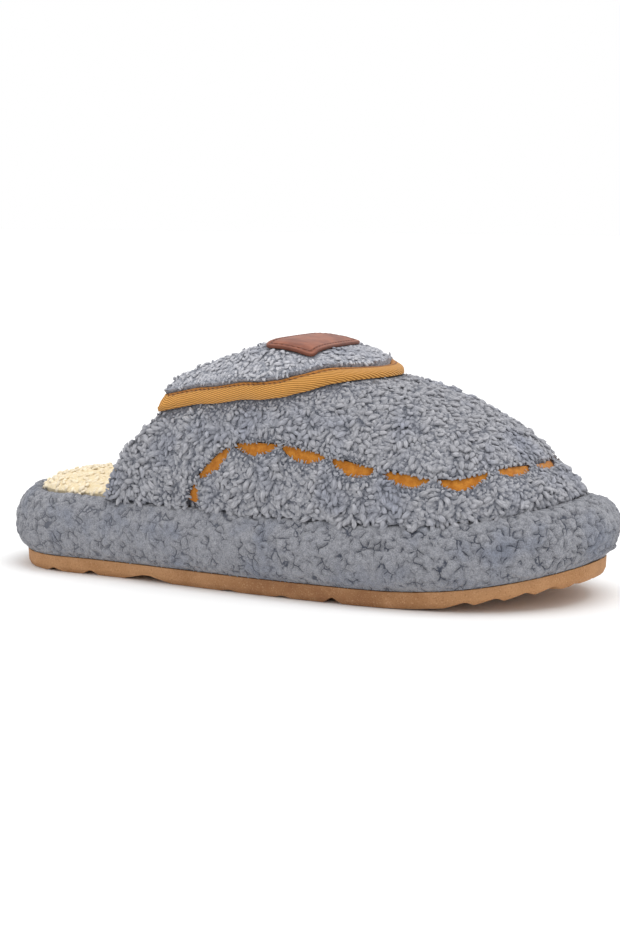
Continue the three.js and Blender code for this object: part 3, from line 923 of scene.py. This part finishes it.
def sewn(name, look, spots, slotName, material):
    # spots: a point, the direction of the seam and the cloth's normal for each stitch
    stitch = bmesh.new()
    bmesh.ops.create_uvsphere(stitch, u_segments=6, v_segments=6, radius=0.5)
    bmesh.ops.rotate(stitch, verts=stitch.verts, matrix=Matrix.Rotation(math.pi / 2, 3, "Y"))
    bmesh.ops.scale(stitch, verts=stitch.verts, vec=(look["stitch"], look["thread"], look["thread"]))
    kinds = kindSet(name + "Kinds", [toObject(name + "Kind", stitch)])
    alike = {"size": (1, 1, 1), "kind": 0, "shade": 0.5}
    placed = [dict(alike, point=point, along=along, out=out) for point, along, out in spots]
    piece = scatter(name, placed, kinds)
    dropKinds(kinds)
    place(piece, slotName, material)


# Twill tape round the flap, with its line of stitches

tape = {
    "rib": 1.0 * mm, "ribTurn": 0.42, "bins": 70, "overEdge": 0.8, "stitchIn": 2.0 * mm,
    "stitch": 2.2 * mm, "pitch": 3.0 * mm, "thread": 0.45 * mm,
    "from": 12 * mm, "reach": 20 * mm, "dark": "#96601F", "light": "#E0A558",
    "worn": "#CF9244", "margin": "#B8742F", "groove": "#7E4518", "threadColour": "#93581F",
}


def tapeLine(mesh):
    # the middle of the tape, from its outer end round the front to its inner end
    xs, ys = [v.co.x for v in mesh.verts], [v.co.y for v in mesh.verts]
    pivot = Vector(((min(xs) + max(xs)) / 2, (min(ys) + max(ys)) / 2, 0))
    bins = [[] for k in range(tape["bins"])]
    for vert in mesh.verts:
        share = (math.atan2(vert.co.y - pivot.y, vert.co.x - pivot.x) / math.pi + 1) / 2
        bins[min(int(share * tape["bins"]), tape["bins"] - 1)].append(vert.co)
    line = [sum(found, Vector()) / len(found) for found in bins if found]
    for turn in range(2):
        inner = [(a + b * 2 + c) / 4 for a, b, c in zip(line, line[1:], line[2:])]
        line = [line[0]] + inner + [line[-1]]
    # run on past both ends
    return [line[0] * 2 - line[1]] + line + [line[-1] * 2 - line[-2]], pivot


class Line:
    def __init__(self, points):
        self.points = points
        self.walked = [0.0]
        for a, b in zip(points, points[1:]):
            self.walked.append(self.walked[-1] + (b - a).length)

    def nearest(self, point):
        best = None
        for k, (a, b) in enumerate(zip(self.points, self.points[1:])):
            side = b - a
            share = max(0, min(1, (point - a).dot(side) / side.length_squared))
            off = (point - a - side * share).length
            if best is None or off < best[0]:
                best = (off, self.walked[k] + share * side.length, a + side * share, side.normalized())
        return best[1:]

    def at(self, distance):
        k = max(k for k, walked in enumerate(self.walked[:-1]) if walked <= distance)
        side = self.points[k + 1] - self.points[k]
        return self.points[k] + side.normalized() * (distance - self.walked[k]), side.normalized()


def acrossTape(spot, along, pivot):
    # towards the middle of the flap
    across = along.cross(awayFrom(spot)).normalized()
    return across if across.dot(pivot - spot) > 0 else -across


def makeTape():
    mesh = mergedCopy("binding")
    points, pivot = tapeLine(mesh)
    pivot.z = max(p.z for p in points)
    line = Line(points)
    bmesh.ops.join_triangles(mesh, faces=mesh.faces, angle_face_threshold=0.6, angle_shape_threshold=3.1)
    bmesh.ops.subdivide_edges(mesh, edges=mesh.edges, cuts=1, use_grid_fill=True, smooth=0.6)
    cover = toObject("tape", mesh)
    modify(cover, "SUBSURF", levels=1, render_levels=1)
    cover = settled(cover)
    uv = cover.data.uv_layers.new(name="UVMap")
    found = []
    rims = [[] for k in range(tape["bins"] + 1)]
    for vert in cover.data.vertices:
        walked, spot, along = line.nearest(vert.co)
        off, away = vert.co - spot, awayFrom(vert.co)
        across = off.dot(acrossTape(spot, along, pivot))
        # unrolled over the rounded edge
        unrolled = across + tape["overEdge"] * off.dot(away)
        found.append((walked, unrolled))
        if vert.normal.dot(away) > 0.6:
            rims[int(walked / line.walked[-1] * tape["bins"])].append((across, unrolled))
    rims = [max(rim) if rim else None for rim in rims]

    def rimAt(walked, which):
        # how far up the tape its border lies there
        middle = int(walked / line.walked[-1] * tape["bins"])
        close = [rim[which] for rim in rims[max(0, middle - 1):middle + 2] if rim]
        return sum(close) / len(close)

    for loop in cover.data.loops:
        walked, up = found[loop.vertex_index]
        uv.data[loop.index].uv = (walked / mm, (up - rimAt(walked, 1)) / mm)
    place(cover, "tape", twillMaterial(), "binding")
    spots = []
    at = tape["pitch"]
    while at < line.walked[-1] - tape["pitch"]:
        spot, along = line.at(at)
        away = awayFrom(spot)
        point = spot + acrossTape(spot, along, pivot) * (rimAt(at, 0) - tape["stitchIn"])
        met = trees["binding"].ray_cast(point + away * tape["from"], -away, tape["reach"])
        at += tape["pitch"]
        if met[0] is not None:
            spots.append((met[0], along, met[1]))
    sewn("tapeStitches", tape, spots, "tape", plainMaterial("tapeThread", tape["threadColour"], 0.7))


def twillMaterial():
    material, tree, surface = newMaterial("twill", 0.75, 0.25, 0.1)
    uv = addNode(tree, "ShaderNodeUVMap", uv_map="UVMap").outputs["UV"]
    turn = (0, 0, tape["ribTurn"] - math.pi / 2)
    turned = addNode(tree, "ShaderNodeMapping", Vector=uv, Rotation=turn).outputs["Vector"]
    waves = {"Scale": mm / tape["rib"] / 3.2, "Distortion": 0.5, "Detail": 1.0, "Detail Scale": 1.5}
    ribs = addNode(tree, "ShaderNodeTexWave", Vector=turned, **waves).outputs["Fac"]
    # the crests of the ribs are painted lighter and their hollows darker: painted light and shade on the
    # ribs that the bump raises
    rib = mix(tree, ramp(tree, ribs, 0.1, 0.7), rgb(tape["dark"]), rgb(tape["light"]))
    worn = ramp(tree, noiseAt(tree, uv, 0.35, 3.0), 0.35, 0.7, 0, 0.3)
    dyed = mix(tree, worn, rib, rgb(tape["worn"]))
    up = addNode(tree, "ShaderNodeSeparateXYZ", Vector=uv).outputs["Y"]
    # an orange margin above a groove, which the seam draws in; the groove is painted darker as shade
    seam = tape["stitchIn"] / mm
    edged = mix(tree, ramp(tree, up, -seam, 0.3 - seam, 0, 0.7), dyed, rgb(tape["margin"]))
    below, above = ramp(tree, up, -0.6 - seam, -seam), ramp(tree, up, -seam, 0.6 - seam, 1, 0)
    groove = maths(tree, "MINIMUM", below, above)
    feed(tree, surface["Base Color"], mix(tree, groove, edged, rgb(tape["groove"])))
    threads = bump(tree, noiseAt(tree, uv, 2.5, 2.0), 0.2, 0.1 * mm)
    ribbed = bump(tree, ribs, 0.9, 0.35 * mm, threads)
    dented = bump(tree, ramp(tree, groove, 0, 1, 1, 0), 0.8, 0.5 * mm, ribbed)
    feed(tree, surface["Normal"], dented)
    return material


makeTape()


# Leather patch: rounded corners, a stitched border, a thick soft edge

badge = {
    "corner": 3 * mm, "step": 1 * mm, "within": 0.15 * mm, "thick": 1.5 * mm, "soft": 0.4 * mm,
    "border": 2.1 * mm, "stitch": 1.9 * mm, "pitch": 2.7 * mm, "thread": 0.45 * mm,
    "dark": "#78422F", "light": "#96583F", "edge": "#5A3022", "threadColour": "#6A3C2A",
}


def roundedIn(x, y, halfX, halfY, corner):
    # from a rectangle to the same one with round corners
    offX, offY = abs(x) - (halfX - corner), abs(y) - (halfY - corner)
    if offX <= 0 or offY <= 0:
        return x, y
    shareX, shareY = offX / corner, offY / corner
    newX = halfX - corner + corner * shareX * math.sqrt(1 - shareY ** 2 / 2)
    newY = halfY - corner + corner * shareY * math.sqrt(1 - shareX ** 2 / 2)
    return math.copysign(newX, x), math.copysign(newY, y)


def onPatch(middle, x, y):
    # the point of the patch's top at that place in plan from its middle, and its normal
    for pull in range(20):
        share = 1 - 0.01 * pull
        high = middle + Vector((x * share, y * share, 0.1))
        met = trees["patch"].ray_cast(high, Vector((0, 0, -1)), 1)
        if met[0] is not None:
            return met[0], met[1]
    return middle, Vector((0, 0, 1))


def makePatch():
    corners = [v.co for v in nodes["patch"].data.vertices]
    xs, ys = sorted(c.x for c in corners), sorted(c.y for c in corners)
    centre = Vector(((xs[0] + xs[-1]) / 2, (ys[0] + ys[-1]) / 2, max(c.z for c in corners)))
    halfX, halfY = (xs[-1] - xs[0]) / 2 - badge["within"], (ys[-1] - ys[0]) / 2 - badge["within"]
    mesh = bmesh.new()
    inset = mesh.verts.layers.float.new("inset")
    bmesh.ops.create_grid(
        mesh, x_segments=round(2 * halfX / badge["step"]), y_segments=round(2 * halfY / badge["step"]),
        size=1, matrix=Matrix.Diagonal((halfX, halfY, 1, 1)),
    )
    for vert in mesh.verts:
        x, y = vert.co.x, vert.co.y
        vert[inset] = min(halfX - abs(x), halfY - abs(y))
        x, y = roundedIn(x, y, halfX, halfY, badge["corner"])
        vert.co = onPatch(centre, x, y)[0]
    bmesh.ops.smooth_vert(mesh, verts=mesh.verts, factor=0.5, use_axis_z=True)
    piece = toObject("leatherPatch", mesh)
    modify(piece, "SOLIDIFY", thickness=badge["thick"], offset=-1)
    modify(piece, "BEVEL", width=badge["soft"], segments=2, limit_method="ANGLE", angle_limit=1.0)
    piece = settled(piece)
    piece.data.shade_smooth()
    place(piece, "leather", leatherMaterial(), "patch")
    # the seam: a rectangle with round corners inside the border
    inX, inY = halfX - badge["border"], halfY - badge["border"]
    rim = badge["corner"] - badge["border"] * 0.4
    outline = []
    for k in range(4):
        turn = k * math.pi / 2
        middleX = math.copysign(inX - rim, math.cos(turn + math.pi / 4))
        middleY = math.copysign(inY - rim, math.sin(turn + math.pi / 4))
        for j in range(5):
            at = turn + j * math.pi / 8
            outline.append(Vector((middleX + rim * math.cos(at), middleY + rim * math.sin(at), 0)))
    line = Line(outline + outline[:1])
    count = round(line.walked[-1] / badge["pitch"])
    spots = []
    for k in range(count):
        spot, along = line.at(k * line.walked[-1] / count)
        point, normal = onPatch(centre, spot.x, spot.y)
        spots.append((point, along, normal))
    sewn("patchStitches", badge, spots, "leather", plainMaterial("patchThread", badge["threadColour"], 0.7))


def leatherMaterial():
    material, tree, surface = newMaterial("leather", 0.5, 0.35)
    spot = objectCoordinates(tree)
    mottle = noiseAt(tree, spot, 1 / (5 * mm), 4.0)
    tanned = mix(tree, ramp(tree, mottle, 0.35, 0.65), rgb(badge["dark"]), rgb(badge["light"]))
    inset, edge = attribute(tree, "inset"), rgb(badge["edge"])
    dyedEdge = mix(tree, ramp(tree, inset, 0, 1.0 * mm, 0.7, 0), tanned, edge)
    # the seam presses a groove into the border, painted darker towards the edge colour as shade
    inwards, back = ramp(tree, inset, 1.5 * mm, 2.1 * mm), ramp(tree, inset, 2.1 * mm, 2.8 * mm, 1, 0)
    groove = maths(tree, "MULTIPLY", inwards, back)
    feed(tree, surface["Base Color"], mix(tree, ramp(tree, groove, 0, 1, 0, 0.6), dyedEdge, edge))
    grain = addNode(tree, "ShaderNodeTexVoronoi", Vector=spot, Scale=1 / (0.9 * mm)).outputs["Distance"]
    fine = bump(tree, grain, 0.25, 0.15 * mm)
    sunk = maths(tree, "MULTIPLY", groove, -1)
    feed(tree, surface["Normal"], bump(tree, sunk, 0.8, 0.5 * mm, fine))
    return material


makePatch()

for kinds in (locks, curls):
    dropKinds(kinds)


# Suede of the trim, on the trim itself

suede = {"dark": "#A9661D", "light": "#C58230", "worn": "#8A4F14"}


def suedeMaterial():
    material, tree, surface = newMaterial("suede", 0.95, 0.15, 0.25)
    spot = objectCoordinates(tree)
    brushed = noiseAt(tree, spot, 1 / (2.5 * mm), 3.0)
    nap = noiseAt(tree, spot, 1 / (0.4 * mm), 3.0)
    dyed = mix(tree, ramp(tree, brushed, 0.35, 0.65), rgb(suede["dark"]), rgb(suede["light"]))
    worn = ramp(tree, nap, 0.4, 0.62, 0, 0.35)
    feed(tree, surface["Base Color"], mix(tree, worn, dyed, rgb(suede["worn"])))
    feed(tree, surface["Normal"], bump(tree, nap, 0.6, 0.25 * mm))
    return material


nodes["seam_trim"].material_slots[0].material = suedeMaterial()

# Tan rubber: fine specks, and painted shade under the waist, made uneven by large clouds

rubber = {
    # the brown colour and its limits are painted shade under the waist
    "soft": 0.5 * mm, "waistShadeFrom": -60 * mm, "waistShadeTo": 20 * mm, "waistShadeEndFrom": 45 * mm, "waistShadeEndTo": 95 * mm,
    "light": "#B58860", "dark": "#A57850", "waistShadeColour": "#8A6040", "speck": "#6E4528", "dust": "#D9B48C",
}


def rubberMaterial():
    material, tree, surface = newMaterial("rubber", 0.8, 0.25)
    spot = objectCoordinates(tree)
    specks = noiseAt(tree, spot, 1 / (0.6 * mm), 2.0)
    clouds = noiseAt(tree, spot, 1 / (14 * mm), 4.0, 0.5)
    x = addNode(tree, "ShaderNodeSeparateXYZ", Vector=spot).outputs["X"]
    # painted shade: the rubber is painted darker and browner under the waist, unevenly
    waistShadeRise = ramp(tree, x, rubber["waistShadeFrom"], rubber["waistShadeTo"])
    waistShadeFall = ramp(tree, x, rubber["waistShadeEndFrom"], rubber["waistShadeEndTo"], 1, 0)
    waistShade = maths(tree, "MULTIPLY", waistShadeRise, waistShadeFall)
    unevenWaistShade = maths(tree, "MULTIPLY", waistShade, ramp(tree, clouds, 0.35, 0.65, 0.45, 1))
    tan = mix(tree, ramp(tree, clouds, 0.35, 0.7), rgb(rubber["light"]), rgb(rubber["dark"]))
    # the painted shade under the waist is mixed in here
    worn = mix(tree, unevenWaistShade, tan, rgb(rubber["waistShadeColour"]))
    speckled = mix(tree, ramp(tree, specks, 0.58, 0.72, 0, 0.5), worn, rgb(rubber["speck"]))
    dusty = mix(tree, ramp(tree, specks, 0.28, 0.42, 0.35, 0), speckled, rgb(rubber["dust"]))
    feed(tree, surface["Base Color"], dusty)
    feed(tree, surface["Normal"], bump(tree, specks, 0.35, 0.2 * mm))
    return material


def makeOutsole():
    mesh = mergedCopy("outsole")
    bmesh.ops.dissolve_limit(mesh, angle_limit=0.02, verts=mesh.verts, edges=mesh.edges)
    piece = toObject("rubberSole", mesh, smooth=False)
    modify(piece, "BEVEL", width=rubber["soft"], segments=2, limit_method="ANGLE", angle_limit=0.35)
    piece = settled(piece)
    piece.data.shade_smooth()
    place(piece, "outsole", rubberMaterial(), "outsole")


makeOutsole()


# Floor

def makeFloor():
    mesh = bmesh.new()
    bmesh.ops.create_grid(mesh, x_segments=1, y_segments=1, size=6)
    bmesh.ops.translate(mesh, verts=mesh.verts, vec=(0, 0, -0.2 * mm))
    floor = toObject("floor", mesh, smooth=False)
    material, tree, surface = newMaterial("paleFloor", 0.9)
    surface["Base Color"].default_value = (0.9, 0.9, 0.9, 1)
    floor.data.materials.append(material)


makeFloor()
